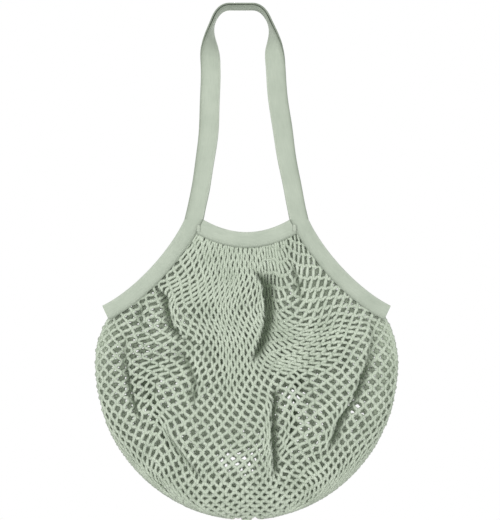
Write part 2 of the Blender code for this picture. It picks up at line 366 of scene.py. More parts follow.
def yarn_material(name, light, dark, shade):
    """Soft twisted cotton cord: fibres, the plies' twist, painted shade on the side that faces inwards, and
    painted shade where the cord lies deep in a fold.
    """
    nodes = Nodes(name)
    along, around, _ = nodes.split(nodes.attribute("run", "Vector"))
    inner = nodes.attribute("inner", "Fac")
    painted_deep_shade = nodes.attribute("painted_deep_shade", "Fac")
    ply = nodes.math("SINE", nodes.weigh(along, TWIST_RATE, around, 3.0))
    fibres = nodes.noise(FIBRE_SCALE, 2.0, nodes.place())
    patch = nodes.noise(38.0, 3.0, nodes.place())
    colour = nodes.ramp(nodes.weigh(patch, 0.75, fibres, 0.35), 0.35, dark, 0.72, light)
    # Painted shade on the side of the cord that faces into the bag
    colour = nodes.colour_mix(inner, colour, shade, "MULTIPLY")
    # Painted shade in folds and hollows, and on the back where it hangs in shade
    colour = nodes.colour_mix(painted_deep_shade, colour, DEEP_SHADE, "MULTIPLY")
    height = nodes.math("ADD", nodes.math("MULTIPLY", ply, 0.5), fibres)
    return nodes.finish(colour, height, 0.5, 0.0003, 0.85, 0.15)


def tape_material(name, light, dark):
    """Close plain-woven cotton tape: fine threads both ways, soft patches, one edge paler and painted shade
    along the other.
    """
    nodes = Nodes(name)
    along, across, pale_and_shaded_edge = nodes.split(nodes.attribute("run", "Vector"))
    warp = nodes.math("SINE", nodes.math("MULTIPLY", across, THREAD_RATE))
    weft = nodes.math("SINE", nodes.math("MULTIPLY", along, THREAD_RATE * 0.8))
    weave = nodes.math("MULTIPLY", warp, weft)
    long_way = {0: nodes.math("MULTIPLY", along, 60.0), 1: nodes.math("MULTIPLY", across, 900.0)}
    streak = nodes.noise(1.0, 3.0, nodes.add("ShaderNodeCombineXYZ", long_way).outputs[0])
    patch = nodes.noise(30.0, 4.0, nodes.place())
    tone = nodes.math("ADD", nodes.weigh(patch, 0.6, streak, 0.5), nodes.math("MULTIPLY", weave, 0.04))
    colour = nodes.ramp(tone, 0.35, dark, 0.75, light)
    # One edge paler; painted shade along the other edge
    pale = nodes.math("MAXIMUM", nodes.math("MULTIPLY", pale_and_shaded_edge, 0.35), 0.0)
    edge_shade = nodes.math("MAXIMUM", nodes.math("MULTIPLY", pale_and_shaded_edge, -0.75), 0.0)
    colour = nodes.colour_mix(pale, colour, PALE_EDGE)
    colour = nodes.colour_mix(edge_shade, colour, PAINTED_EDGE_SHADE, "MULTIPLY")
    height = nodes.math("ADD", weave, nodes.math("MULTIPLY", streak, 0.6))
    return nodes.finish(colour, height, 0.35, 0.00025, 0.88, 0.2)


def thread_material(name, light, dark):
    """Sewing thread: a shade lighter than the tape, with a tight twist."""
    nodes = Nodes(name)
    wave = {"Vector": nodes.place(), "Scale": 900.0, "Distortion": 1.0}
    twist = nodes.add("ShaderNodeTexWave", wave, bands_direction="DIAGONAL").outputs["Fac"]
    patch = nodes.noise(90.0, 3.0, nodes.place())
    return nodes.finish(nodes.colour_mix(patch, dark, light), twist, 0.4, 0.0001, 0.6, 0.1)


# The last colour of each yarn is the painted shade of its inward-facing side
NET = yarn_material("cotton_net_yarn", rgb(0.56, 0.62, 0.51), rgb(0.42, 0.48, 0.38), rgb(0.97, 0.98, 0.96))
GATHER = yarn_material(
    "cotton_gather_cord", rgb(0.56, 0.63, 0.52), rgb(0.42, 0.49, 0.38), rgb(0.5, 0.55, 0.46)
)
TAPE = tape_material("cotton_tape_weave", rgb(0.47, 0.52, 0.43), rgb(0.38, 0.43, 0.35))
THREAD = thread_material("cotton_sewing_thread", rgb(0.54, 0.59, 0.50), rgb(0.42, 0.47, 0.38))


# How the knit lies ---

# Where the wales crowd (+) or spread (-): middle, size and strength
CROWDING = (
    ((-0.030, -0.430), (0.060, 0.095), 2.3),
    ((0.000, -0.325), (0.075, 0.050), 1.7),
    ((0.014, -0.400), (0.012, 0.055), 1.2),
    ((0.095, -0.430), (0.055, 0.050), -0.15),
    ((-0.130, -0.500), (0.040, 0.045), -0.20),
    ((0.030, -0.560), (0.014, 0.060), 0.8),
    ((0.120, -0.540), (0.020, 0.060), 0.8),
    ((-0.100, -0.405), (0.012, 0.030), 1.1),
    ((0.150, -0.480), (0.012, 0.040), 0.8),
)
# Where the rows are stretched (+) or close (-)
ROW_STRETCH = (
    ((0.000, -0.335), (0.070, 0.045), 0.15),
    ((0.105, -0.420), (0.055, 0.050), -0.32),
    ((-0.125, -0.490), (0.040, 0.050), -0.22),
    ((0.065, -0.470), (0.050, 0.045), -0.28),
    ((-0.030, -0.440), (0.050, 0.060), -0.08),
    ((0.000, -0.680), (0.120, 0.045), -0.22),
)
# Where the knit is turned in its plane: middle, reach, angle in radians
TURNED = (((-0.030, -0.520), 0.085, -0.24), ((0.050, -0.440), 0.055, -0.20))
# Broad hollows (+) and swells (-) of the front face: middle, size, depth
HOLLOWS = (
    ((0.034, -0.395), (0.016, 0.050), 0.0022),
    ((0.075, -0.375), (0.012, 0.035), 0.0018),
    ((-0.098, -0.470), (0.020, 0.030), 0.0024),
    ((-0.020, -0.500), (0.012, 0.050), 0.0018),
    ((0.085, -0.520), (0.014, 0.060), 0.0018),
    ((-0.050, -0.590), (0.060, 0.014), 0.0018),
    ((0.080, -0.450), (0.045, 0.010), 0.0016),
    ((-0.060, -0.400), (0.030, 0.050), -0.0040),
    ((0.055, -0.410), (0.014, 0.045), -0.0030),
    ((0.005, -0.560), (0.022, 0.060), -0.0030),
    ((0.120, -0.470), (0.022, 0.040), -0.0030),
)
# Where the back's rows have slipped, so that its holes lie behind the front's: middle and size
SLIPPED = (
    ((-0.016, -0.607), (0.034, 0.018)),
    ((0.062, -0.522), (0.016, 0.014)),
    ((0.147, -0.540), (0.017, 0.015)),
)
SLIP = 0.78  # rows
# Where the back hangs in shade, painted into its cords' colour; the front's cords are thinner there: middle
# and size
SHADED = ((-0.150, -0.470), (0.045, 0.085))


class Fold(NamedTuple):
    """A fold that hangs in the knit, along a line down the face."""

    heights: tuple  # z of the line's points, falling
    places: tuple  # x of the line's points
    drop: float  # how deep the knit sinks into the bag on one side of the line
    lap: float  # how far it stands out on the other side
    way: int  # 1 where it sinks on the left of the line, -1 where on the right
    reach: float  # how far from the line it sinks


FOLDS = {
    "front": (
        Fold(
            (-0.35, -0.366, -0.373, -0.389, -0.407, -0.42, -0.442, -0.48),
            (0.006, 0.016, 0.0205, 0.0225, 0.024, 0.023, 0.018, 0.003),
            drop=0.011, lap=0.006, way=-1, reach=0.014,
        ),
        Fold(
            (-0.505, -0.545, -0.58, -0.63), (0.0365, 0.032, 0.032, 0.035),
            drop=0.011, lap=0.006, way=-1, reach=0.01,
        ),
        Fold(
            (-0.362, -0.376, -0.389, -0.408, -0.427, -0.443, -0.452),
            (-0.125, -0.1185, -0.104, -0.102, -0.097, -0.084, -0.058),
            drop=0.011, lap=0.006, way=1, reach=0.011,
        ),
        Fold((-0.385, -0.415, -0.442), (-0.1405, -0.139, -0.139), drop=0.01, lap=0.004, way=1, reach=0.008),
        Fold(
            (-0.435, -0.46, -0.489, -0.53, -0.56), (-0.16, -0.161, -0.157, -0.147, -0.135),
            drop=0.009, lap=0.005, way=1, reach=0.009,
        ),
        Fold(
            (-0.418, -0.446, -0.472, -0.504, -0.524, -0.55, -0.595),
            (0.166, 0.167, 0.161, 0.149, 0.141, 0.121, 0.105),
            drop=0.01, lap=0.0065, way=-1, reach=0.011,
        ),
        Fold(
            (-0.455, -0.48, -0.505, -0.54), (-0.088, -0.072, -0.064, -0.068),
            drop=0.006, lap=0.005, way=1, reach=0.011,
        ),
        Fold((-0.335, -0.365, -0.4), (0.06, 0.072, 0.078), drop=0.005, lap=0.0035, way=1, reach=0.01),
        Fold((-0.56, -0.6, -0.64), (-0.11, -0.08, -0.05), drop=0.005, lap=0.004, way=1, reach=0.01),
    ),
    "back": (
        Fold(
            (-0.35, -0.4, -0.45, -0.52), (-0.015, -0.034, -0.038, -0.02),
            drop=0.0055, lap=0.0035, way=1, reach=0.011,
        ),
        Fold((-0.47, -0.52, -0.6), (0.07, 0.062, 0.05), drop=0.01, lap=0.005, way=-1, reach=0.01),
        Fold((-0.4, -0.45, -0.5), (0.13, 0.136, 0.132), drop=0.007, lap=0.004, way=1, reach=0.009),
        Fold((-0.48, -0.54, -0.6), (-0.14, -0.12, -0.09), drop=0.009, lap=0.005, way=1, reach=0.009),
    ),
}
FOLD_EDGE = 0.0026  # half the width of the step between a fold's lap and its drop
LAP_REACH = 0.016


def beside_fold(fold, x, z):
    """1 along a fold's run, the distance from its line towards its drop, and 1 on the drop's side."""
    top, end = fold.heights[0], fold.heights[-1]
    line = np.interp(z, fold.heights[::-1], fold.places[::-1])
    run = smooth(z, end - 0.006, end + 0.022)
    run = run * (1 - smooth(z, top - 0.022, top + 0.004))
    off = -fold.way * (x - line)
    return run, off, smooth(off, -FOLD_EDGE, FOLD_EDGE)


def folded(side, x, z):
    """x pulled towards the front's folds, and how far the net dips into the bag at each point."""
    dip = np.zeros_like(x)
    for fold in FOLDS[side]:
        run, off, beyond = beside_fold(fold, x, z)
        dip = dip + fold.drop * run * beyond * ridge(off, fold.reach)
        dip = dip - fold.lap * run * (1 - beyond) * ridge(off, LAP_REACH)
    for fold in FOLDS["front"]:
        run, off, beyond = beside_fold(fold, x, z)
        pull = 0.25 * ridge(off, 0.010) * (1 - beyond) + 0.10 * beyond * ridge(off, 0.008)
        x = x + fold.way * run * off * pull
    if side == "front":
        for place, size, depth in HOLLOWS:
            dip = dip + depth * bump(x, z, place, size)
    return x, dip


def turned(x, z):
    """Points of the knit, moved by the places where it is turned."""
    for place, reach, angle in TURNED:
        dx, dz = x - place[0], z - place[1]
        swing = angle * np.exp(-(dx * dx + dz * dz) / reach**2)
        x = place[0] + dx * np.cos(swing) - dz * np.sin(swing)
        z = place[1] + dx * np.sin(swing) + dz * np.cos(swing)
    return x, z


def waves(x, z, phase):
    """Slow unevenness of cloth, about -1 to 1."""
    return (
        np.sin(41 * x + 23 * z + phase)
        + np.sin(-29 * x + 57 * z + 2.1 * phase)
        + np.sin(83 * x - 37 * z + 3.7 * phase)
    ) / 3


def wale_half_width(z):
    """How far from the middle the outermost wale of one face is; above the corners it is under the tape."""
    z = np.asarray(z, float)
    slope = BAG_HALF_WIDTH**2 * (HINGE_Z - WIDEST_Z) / (UPPER_RADIUS**2 * HINGE_HALF_WIDTH)
    rise = np.maximum(z - HINGE_Z, 0)
    fan = HINGE_HALF_WIDTH - slope * rise - 2.3 * rise**2
    return np.where(z > HINGE_Z, fan, half_width(z))


# The wales' places ---

NET_TOP_Z = -0.285
SPREAD = 1.16  # at least this much over the mean pitch away from the edges; the rest crowd at the edges
LOW_PITCH = 0.0066  # kept away from the edges low on the bag
WALL_CROWD = 0.0115  # a fold this deep doubles the wales on its wall
WALL_REACH = 0.0060


def wale_borders():
    """A ladder of heights, and x of the borders between the wales at each of them."""
    even = np.linspace(NET_TOP_Z, BOTTOM_Z + 0.012, 150)
    close = BOTTOM_Z + np.linspace(0.0115, 0.0005, 12)
    heights = np.concatenate((even, close))
    shares = np.linspace(-1, 1, 241)
    table = []
    for z in heights:
        width = float(wale_half_width(z))
        x = shares * width
        pitch = 2 * width / WALES
        spread = mix(SPREAD, max(LOW_PITCH / pitch, SPREAD), float(smooth(z, -0.46, -0.60)))
        sharp = float(np.clip(6 * spread, 9, 20))
        density = 1 + (sharp + 1) * (spread - 1) * np.abs(shares) ** sharp
        for place, size, strength in CROWDING:
            density = density + strength * bump(x, z, place, size)
        for folds in FOLDS.values():
            for fold in folds:
                run, off, _ = beside_fold(fold, x, np.full_like(x, z))
                wall = run * (fold.drop + fold.lap) / WALL_CROWD
                density = density + wall * ridge(off - 0.001, WALL_REACH)
        count = np.concatenate(([0], np.cumsum((density[1:] + density[:-1]) / 2)))
        count = count / count[-1] * WALES - WALES / 2
        table.append(np.interp(np.arange(WALES + 1) - WALES / 2, count, x))
    return heights, np.array(table)


def rows_along(x, z):
    """The row number at every point of a line down the net, counted from the widest level."""
    y = net_depth(x, z)
    length = np.sqrt(np.diff(x) ** 2 + np.diff(y) ** 2 + np.diff(z) ** 2)
    middle_x, middle_z = (x[1:] + x[:-1]) / 2, (z[1:] + z[:-1]) / 2
    stretch = np.ones_like(length)
    for place, size, strength in ROW_STRETCH:
        stretch += strength * bump(middle_x, middle_z, place, size)
    count = np.concatenate(([0], np.cumsum(length / (ROW * stretch))))
    return count - np.interp(-WIDEST_Z, -z, count)


def border_lines():
    """The borders between the wales: many heights, and each border's x and row number at them."""
    heights, borders = wale_borders()
    fine = np.linspace(heights[0], heights[-1], 1400)
    lines = np.stack([np.interp(fine, heights[::-1], column[::-1]) for column in borders.T])
    return fine, lines, np.stack([rows_along(line, fine) for line in lines])


BORDER_Z, BORDER_X, BORDER_ROWS = border_lines()


# The net ---

WOBBLE = 0.00022  # of the joints between wales
FRONT_CORD = 1.12
BACK_CORD = 1.25
BOTTOM_CORD = 1.22  # the cord's swell where the net is drawn together
PRESSED_HALF = 0.0010  # half a cord's thickness between a tape's layers
SHORTEST_WALE = 8  # points


def zigzag(k, sign, rng):
    """Wale k on the even net, from border to border and back every two rows: its x, z and width."""
    rows = (BORDER_ROWS[k] + BORDER_ROWS[k + 1]) / 2
    first, last = math.ceil(rows[0]), math.floor(rows[-1])
    at = np.arange(first * STEPS, last * STEPS + 1) / STEPS
    joint = np.round(at).astype(int) - first
    wobble = rng.normal(0, 1, (last - first + 3, 2))[joint]
    swing = np.cos(math.pi * (at + k % 2 + (sign > 0)))
    swing = swing * (1.5 - 0.5 * swing**2)
    left_z = np.interp(at, BORDER_ROWS[k], BORDER_Z)
    right_z = np.interp(at, BORDER_ROWS[k + 1], BORDER_Z)
    left_x = np.interp(-left_z, -BORDER_Z, BORDER_X[k])
    right_x = np.interp(-right_z, -BORDER_Z, BORDER_X[k + 1])
    pitch = right_x - left_x
    reach = mix(0.34, 0.72, smooth(pitch, 0.0036, 0.0070))
    x = (left_x + right_x) / 2 + reach * swing * pitch / 2 + wobble[:, 0] * WOBBLE
    z = (left_z + right_z) / 2 + swing * (right_z - left_z) / 2 + wobble[:, 1] * WOBBLE
    return x, z, pitch


def hung(side, sign, x, z):
    """Points of the even net where they hang: turned, uneven and pulled to the folds, and their dip."""
    x, z = turned(x, z)
    x = x + 0.0011 * waves(x, z, 1) * (1 - np.abs(x) / BAG_HALF_WIDTH)
    z = z + 0.0016 * waves(z, x, 2)
    x, dip = folded(side, x, z)
    if sign > 0:
        # Seen from SIGHT, the back's joints lie behind the front's holes, but for the slipped rows
        for place, size in SLIPPED:
            z = z + SLIP * ROW * bump(x, z, place, size)
        depth = net_depth(x, z)
        away = (SIGHT + depth) / (SIGHT - depth)
        x, z = SIGHT_X + (x - SIGHT_X) * away, SIGHT_Z + (z - SIGHT_Z) * away
    return x, z, dip


def cord_radius(k, sign, x, z, pitch):
    """Thinner where the wales crowd, thicker at the bottom, and thicker on the back."""
    radius = CORD * np.clip((pitch / 0.0072) ** 0.32, 0.66, 1.05)
    radius = radius * (1 + 0.05 * waves(z * 9, x * 5, k))
    radius = radius * (BACK_CORD if sign > 0 else FRONT_CORD - 0.14 * bump(x, z, *SHADED))
    return radius * mix(1.0, BOTTOM_CORD, smooth(-z, 0.60, 0.68))


def wale_paths(side, sign, phase):
    """Every wale of a face as its middle line, and the radius, flatness and dip at each point."""
    rng = np.random.default_rng(7 + phase)
    wales = []
    for k in range(WALES):
        x, z, pitch = zigzag(k, sign, rng)
        x, z, dip = hung(side, sign, x, z)
        keep = (z < NET_END(x)) & (z > BOTTOM_Z + 0.0008) & (pitch > 0.0005)
        x, z, dip, pitch = x[keep], z[keep], dip[keep], pitch[keep]
        if len(x) < SHORTEST_WALE:
            continue
        limit = wale_half_width(z)
        x = np.clip(x, -limit, limit)
        depth = net_depth(x, z)
        below_lip = LIP(x) - z
        free = smooth(below_lip, 0.002, 0.02)
        room = np.clip(depth - 0.0025, 0, None) * free
        dip = np.where(dip > 0, np.minimum(dip, room), dip * free)
        crowd = 0.0012 * smooth(0.004 - pitch, 0.0, 0.003) * (-1) ** k * smooth(below_lip, 0.0, 0.01)
        sway = 0.0035 * waves(x * 1.2, z * 0.5, phase + 2) * smooth(below_lip, 0.0, 0.06)
        y = sign * np.maximum(depth - dip + crowd + sway * smooth(depth, 0.004, 0.012), 0.0002)
        radius = cord_radius(k, sign, x, z, pitch)
        flatness = mix(PRESSED_HALF / radius, 1.0, smooth(below_lip, -0.001, 0.009))
        wales.append((np.stack((x, y, z), 1), radius, np.minimum(flatness, 1.0), dip))
    return wales


def outward(points, sign):
    """The direction in which the net faces out of the bag at each point."""
    x, z = points[:, 0], points[:, 2]
    step = 0.0008
    slope_x = (net_depth(x + step, z) - net_depth(x - step, z)) / (2 * step)
    slope_z = (net_depth(x, z + step) - net_depth(x, z - step)) / (2 * step)
    return unit(np.stack((-slope_x, np.full_like(x, sign), -slope_z), 1))


PLY_LOBES = 0.17  # how far the plies stand out of a cord, as a share of its radius
PLY_TURN = 0.62  # of the plies from one ring to the next, in radians


def cord_rings(path, radius, flatness, facing, turn=0.0):
    """Rings of points round a path: a cord of three plies that twist along it, and the points' angles."""
    tangent = unit(np.gradient(path, axis=0))
    across = unit(np.cross(tangent, facing))
    out = unit(np.cross(across, tangent))
    corner = np.arange(RING)
    angles = turn + PLY_TURN * np.arange(len(path))[:, None] + 2 * math.pi * corner[None, :] / RING
    reach = radius[:, None] * (1 + PLY_LOBES * np.where(corner % 2 == 0, 1.0, -1.0)[None, :])
    points = (
        path[:, None, :]
        + across[:, None, :] * (reach * np.cos(angles))[..., None]
        + out[:, None, :] * (reach * flatness[:, None] * np.sin(angles))[..., None]
    )
    return points.reshape(-1, 3), angles


def cord_run(path, angles, number):
    """Distance along a cord, angle round it and the cord's number, at every point of its rings."""
    length = np.repeat(distances(path)[:, None], RING, 1)
    return np.stack((length, angles, np.full_like(angles, number)), -1).reshape(-1, 3)


def across_hinge(piece):
    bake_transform(piece)


def build_net(side, sign, phase):
    points, faces, run, inner, painted_deep_shade = [], [], [], [], []
    base = 0
    wales = wale_paths(side, sign, phase)
    for k, (path, radius, flatness, dip) in enumerate(wales):
        rings, angles = cord_rings(path, radius, flatness, outward(path, sign), 0.7 * k)
        points.append(rings)
        faces += grid_faces(len(path), RING, base)
        base += len(rings)
        run.append(cord_run(path, angles, k))
        # Painted shade mask: the side of each cord that faces into the bag
        inner.append(smooth(-np.sin(angles), -0.5, 0.8).reshape(-1))
        # Painted shade where the cord has sunk into a fold or hollow
        shade = smooth(dip, 0.0008, 0.0080)
        if sign > 0:
            # Painted shade on the back where it hangs in shade
            shade = np.maximum(shade, 0.55 * bump(path[:, 0], path[:, 2], *SHADED))
        painted_deep_shade.append(np.repeat(shade, RING))
    named = (("run", run), ("inner", inner), ("painted_deep_shade", painted_deep_shade))
    attributes = [(label, np.concatenate(values)) for label, values in named]
    piece = new_object(f"{side}_net", np.concatenate(points), faces, NET, attributes)
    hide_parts("net_pouch", f"{side}_net_rim")
    across_hinge(piece)


# The tapes ---


def binding_profile(width, strap_share):
    """Points round a folded tape's section as (reach from the fold, lift off its middle)."""
    reach = np.concatenate((np.linspace(0.0012, 0.008, 5), np.linspace(0.0095, width - 0.0006, 7)))
    lift = mix(0.0014, 0.0024, smooth(reach, 0.001, 0.009)) + 0.00012 * np.sin(reach * 900)
    lift = mix(lift, FOOT_HALF, strap_share)
    lift = lift - 0.0004 * ridge(reach - (width - SEAM_INSET), 0.0009)
    outer = list(zip(reach, lift)) + [(width, lift[-1] - 0.0004)]
    inner = [(r, height - TAPE_LAYER) for r, height in zip(reach, lift)][::-1][::2]
    upper = outer + [(width - 0.0003, lift[-1] - TAPE_LAYER)] + inner
    lower = [(r, -height) for r, height in upper][::-1]
    fold = [(0.0004, -0.0011), (0.0, -0.0005), (0.0, 0.0005), (0.0004, 0.0011)]
    return np.array(upper + lower + fold)


def tape_piece(name, sections, runs):
    """One closed tape through a row of sections, each an array of points."""
    faces = grid_faces(len(sections), len(sections[0]))
    piece = new_object(name, np.concatenate(sections), faces, TAPE, [("run", np.concatenate(runs))])
    piece.data.set_sharp_from_angle(angle=math.radians(50))
    return piece


# Mask for a tape's paler edge (1) and its painted edge shade (-1)
def edge_paling_and_shade(reach, width):
    """1 at the edge that reach is counted from, -1 at the other edge, 0 between them."""
    return np.exp(-np.abs(reach) / 0.0012) - np.exp(-np.abs(width - reach) / 0.0022)


def tape_run(length, reach, width):
    """Distance along a tape, distance across it and the mask for its paler edge and painted edge shade, at
    every point of a section.
    """
    return np.stack((np.full_like(reach, length), reach, edge_paling_and_shade(reach, width)), 1)


def binding_sections(edges, ways, widths, hand, sign, phase, foot_run=0):
    """Sections of a folded tape whose fold follows edges; over its foot run it thins to the strap."""
    sections, runs = [], []
    for edge, way, width, length in zip(edges, ways, widths, distances(edges)):
        as_strap = float(1 - smooth(length, 0.0, foot_run)) if foot_run else 0.0
        profile = binding_profile(float(width), as_strap)
        reach = profile[:, 0]
        pucker = 0.00035 * np.sin(length * 820 + phase) * smooth(reach, width - 0.008, width) * (1 - as_strap)
        stray = 0.00025 * np.sin(length * 430 + 2 * phase) * smooth(reach, 0.0, width) * (1 - as_strap)
        reach = reach + stray
        place = edge[None, :] + way[None, :] * reach[:, None]
        lift = profile[:, 1] + np.sign(profile[:, 1]) * pucker
        depth = rim_depth(place[:, 0], place[:, 1]) + lift
        sections.append(np.stack((hand * place[:, 0], sign * depth, place[:, 1]), 1))
        runs.append(tape_run(length, reach, width))
    return sections, runs


STITCH_LENGTH = 0.0024
STITCH_GAP = 0.0009
STITCH_RADIUS = 0.00032
STITCH_RINGS = ((0, -1.2), (0.2, 0.25), (0.5, 0.75), (0.8, 0.25), (1, -1.2))  # share of its length, swell
STITCH_SIDES = 5
STITCH_LIFT = 0.00205  # off the middle of a folded tape


def point_at(distance, steps, line):
    """The point of a line at a distance along it; steps are the distances of the line's own points."""
    return np.array([np.interp(distance, steps, line[:, i]) for i in range(3)])


def stitch_line(centres, lift_way):
    """Stitches along a line of points: short sunk capsules of thread, as points and faces."""
    steps = distances(centres)
    points, faces = [], []
    at = STITCH_GAP
    while at + STITCH_LENGTH < steps[-1]:
        faces += grid_faces(len(STITCH_RINGS), STITCH_SIDES, len(points))
        middles = [point_at(at + STITCH_LENGTH * share, steps, centres) for share, _ in STITCH_RINGS]
        up = unit(point_at(at + STITCH_LENGTH / 2, steps, lift_way))
        side = np.cross(unit(middles[-1] - middles[0]), up)
        for middle, (_, swell) in zip(middles, STITCH_RINGS):
            size = STITCH_RADIUS * (0.7 if swell < 0 else 1.0)
            for angle in np.linspace(0, 2 * math.pi, STITCH_SIDES + 1)[:-1]:
                rise = STITCH_RADIUS * swell * 0.5 + size * math.sin(angle)
                points.append(middle + up * rise + side * size * math.cos(angle))
        at += STITCH_LENGTH + STITCH_GAP
    return np.array(points).reshape(-1, 3), faces


def stitches(name, lines):
    """All the stitches of one seam as one piece; lines are (centres, lift directions)."""
    points, faces, base = [], [], 0
    for centres, up in lines:
        some, their_faces = stitch_line(np.asarray(centres), np.asarray(up))
        points.append(some)
        faces += [[v + base for v in face] for face in their_faces]
        base += len(some)
    return new_object(name, np.concatenate(points), faces, THREAD)


def binding_seam(edges, ways, widths, hand, sign, trim):
    """The two lines of stitches near a folded tape's lip, one on each face."""
    lines = []
    for face in (1, -1):
        place = edges + ways * (widths - SEAM_INSET)[:, None]
        depth = rim_depth(place[:, 0], place[:, 1]) + face * STITCH_LIFT
        centres = np.stack((hand * place[:, 0], sign * depth, place[:, 1]), 1)
        up = np.tile(np.array((0.0, sign * face, 0.0)), (len(centres), 1))
        lines.append((centres[trim:-trim], up[trim:-trim]))
    return lines


def declare_tape(node):
    """Hide the CAD piece that a tape and its stitches stand for."""
    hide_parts(node)


def build_side_tapes(side, sign):
    shares = np.linspace(0, 1, 90)
    edges, ways, widths = rim_edge(shares), inward(shares), binding_width(shares)
    for hand, label in ((-1, "left"), (1, "right")):
        sections, runs = binding_sections(edges, ways, widths, hand, sign, hand, 0.02)
        piece = tape_piece(f"{side}_{label}_side_tape", sections, runs)
        seam = stitches(f"{side}_{label}_side_stitching", binding_seam(edges, ways, widths, hand, sign, 3))
        declare_tape(f"{side}_{label}_side_binding")
        across_hinge(piece)
        across_hinge(seam)


def build_mouth_tape(side, sign):
    half = DIP_HALF - 0.0006
    x = np.linspace(-half, half, 70)
    edges, ways, widths = dip_edge(x), dip_across(x), np.full_like(x, BINDING_WIDTH)
    sections, runs = binding_sections(edges, ways, widths, 1, sign, 0.4)
    piece = tape_piece(f"{side}_mouth_tape", sections, runs)
    seam = stitches(f"{side}_mouth_stitching", binding_seam(edges, ways, widths, 1, sign, 2))
    declare_tape(f"{side}_mouth_binding")
    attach(piece, f"{side}_rim")
    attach(seam, f"{side}_rim")


def sewn_thread(name, path, radius, facing, node, body):
    """A thread along a path that stands for a sewn CAD piece."""
    path = np.array(path)
    facing = np.tile(np.array(facing), (len(path), 1))
    rings, _ = cord_rings(path, np.full(len(path), radius), np.ones(len(path)), facing)
    piece = new_object(name, rings, grid_faces(len(path), RING), THREAD)
    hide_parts(node)
    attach(piece, body)


TACK_BARS = 22
TACK_HALF_WIDTH = 0.0026


def build_tacks(side, sign):
    """Bars of close zigzag stitches where the mouth tape's ends meet the side tapes."""
    for label in ("left", "right"):
        node = f"{side}_{label}_foot_tack"
        low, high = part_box(node)
        middle = (low + high) / 2
        face_y = (low.y if sign < 0 else high.y) - sign * 0.0003
        path = []
        for i in range(TACK_BARS * 4 + 1):
            share = i / (TACK_BARS * 4)
            swing = math.sin(2 * math.pi * TACK_BARS / 2 * share)
            sunk = 0.00035 * abs(swing) ** 3
            path.append((middle.x + swing * TACK_HALF_WIDTH, face_y - sign * sunk, mix(low.z, high.z, share)))
        sewn_thread(f"{side}_{label}_bar_tack", path, 0.0003, (0.0, float(sign), 0.0), node, f"{side}_rim")


# The handles ---

TOP_Z = 0.0026
ARCH_RISE = 0.055
SHOULDER = np.array((0.0435, TOP_Z - ARCH_RISE))
HOOK_FLAT = 0.015  # half the length that lies flat on the hook
SHOULDER_SHARE = 0.6  # of half a loop, from the foot to the shoulder
ARCH_SHARE = 0.3
TOP_SHARE = 0.1
TWIST_LENGTH = 0.070
TWIST_END = SHOULDER[1] + 0.68 * ARCH_RISE
TWIST_START = TWIST_END - TWIST_LENGTH
STRAP_HALF = 0.00098  # half the strap's thickness above its foot
STRAP_SEAM_INSET = 0.0027
NARROW_WIDTH = 0.0242
FULL_WIDTH = 0.0266
FULL_FROM_Z = -0.235  # where the strap starts to widen and the loops to lean
LEAN = -0.0075  # of the loops' top, to the left


def handle_centre(share):
    """Half of the loop midway between both handles, foot (0) to the middle of the top (1)."""
    foot = np.array((FOOT_X, FOOT_Z))
    rise = SHOULDER[1] - foot[1]
    if share < SHOULDER_SHARE:
        leaving = foot + np.array((-0.076 * rise, 0.34 * rise))
        arriving = SHOULDER + np.array((0.0, -0.35 * rise))
        return curve(foot, leaving, arriving, SHOULDER, share / SHOULDER_SHARE)
    if share < 1 - TOP_SHARE:
        turn = math.pi / 2 * (share - SHOULDER_SHARE) / ARCH_SHARE
        across, up = max(math.cos(turn), 0.0) ** 0.9, math.sin(turn) ** 0.9
        return np.array((HOOK_FLAT + (SHOULDER[0] - HOOK_FLAT) * across, SHOULDER[1] + ARCH_RISE * up))
    return np.array((HOOK_FLAT * (1 - share) / TOP_SHARE, TOP_Z))


def strap_width(z):
    """A little pulled in above the foot, full width higher up."""
    foot = mix(TAPE_WIDTH, NARROW_WIDTH, float(smooth(z, FOOT_Z, FOOT_Z + 0.02)))
    return mix(foot, FULL_WIDTH, float(smooth(z, FULL_FROM_Z, -0.150)))


def strap_profile(width, half):
    """Points round a strap as (across, through): a folded edge, and an open edge with two lips."""
    edge = width / 2
    across = np.linspace(-edge + 0.0008, edge - 0.0005, 13)
    crown = half * (1 + 0.10 * np.cos(across / width * math.pi) * (half < 0.0014))
    groove = 0.00022 * ridge(across - (edge - STRAP_SEAM_INSET), 0.0008)
    top = list(zip(across, crown - groove))
    slit = [(edge - 0.0004, 0.12 * half), (edge - 0.0004, -0.12 * half)]
    lips = [(edge, half * 0.55), *slit, (edge, -half * 0.55)]
    bottom = [(a, -h) for a, h in top[::-1]]
    fold = [(-edge + 0.0001, -half * 0.55), (-edge, 0.0), (-edge + 0.0001, half * 0.55)]
    return np.array(top + lips + bottom + fold)


def strap_frame(share, sign):
    """Middle, width direction and thickness direction of a strap at a share of the half loop."""
    step = 0.002
    ahead = handle_centre(min(share + step, 1.0)) - handle_centre(max(share - step, 0.0))
    ahead = ahead / np.linalg.norm(ahead)
    turn = float(smooth(share, 0.0, 0.15))
    outwards = unit(np.array((1.0, 0.0)) * (1 - turn) + np.array((ahead[1], -ahead[0])) * turn)
    centre = handle_centre(share)
    twist = math.pi / 2 * float(smooth(centre[1], TWIST_START, TWIST_END))
    flat = np.array((outwards[0], 0.0, outwards[1]))
    back = np.array((0.0, 1.0, 0.0))
    width_way = flat * math.cos(twist) - back * math.sin(twist)
    thick_way = flat * math.sin(twist) + back * math.cos(twist)
    closed = float(smooth(centre[1], FOOT_Z, TWIST_START))
    apart = mix(float(rim_depth(centre[0], FOOT_Z)), 0.0016, closed)
    middle = np.array((centre[0], 0.0, centre[1])) + thick_way * (sign * apart)
    return middle, width_way, thick_way


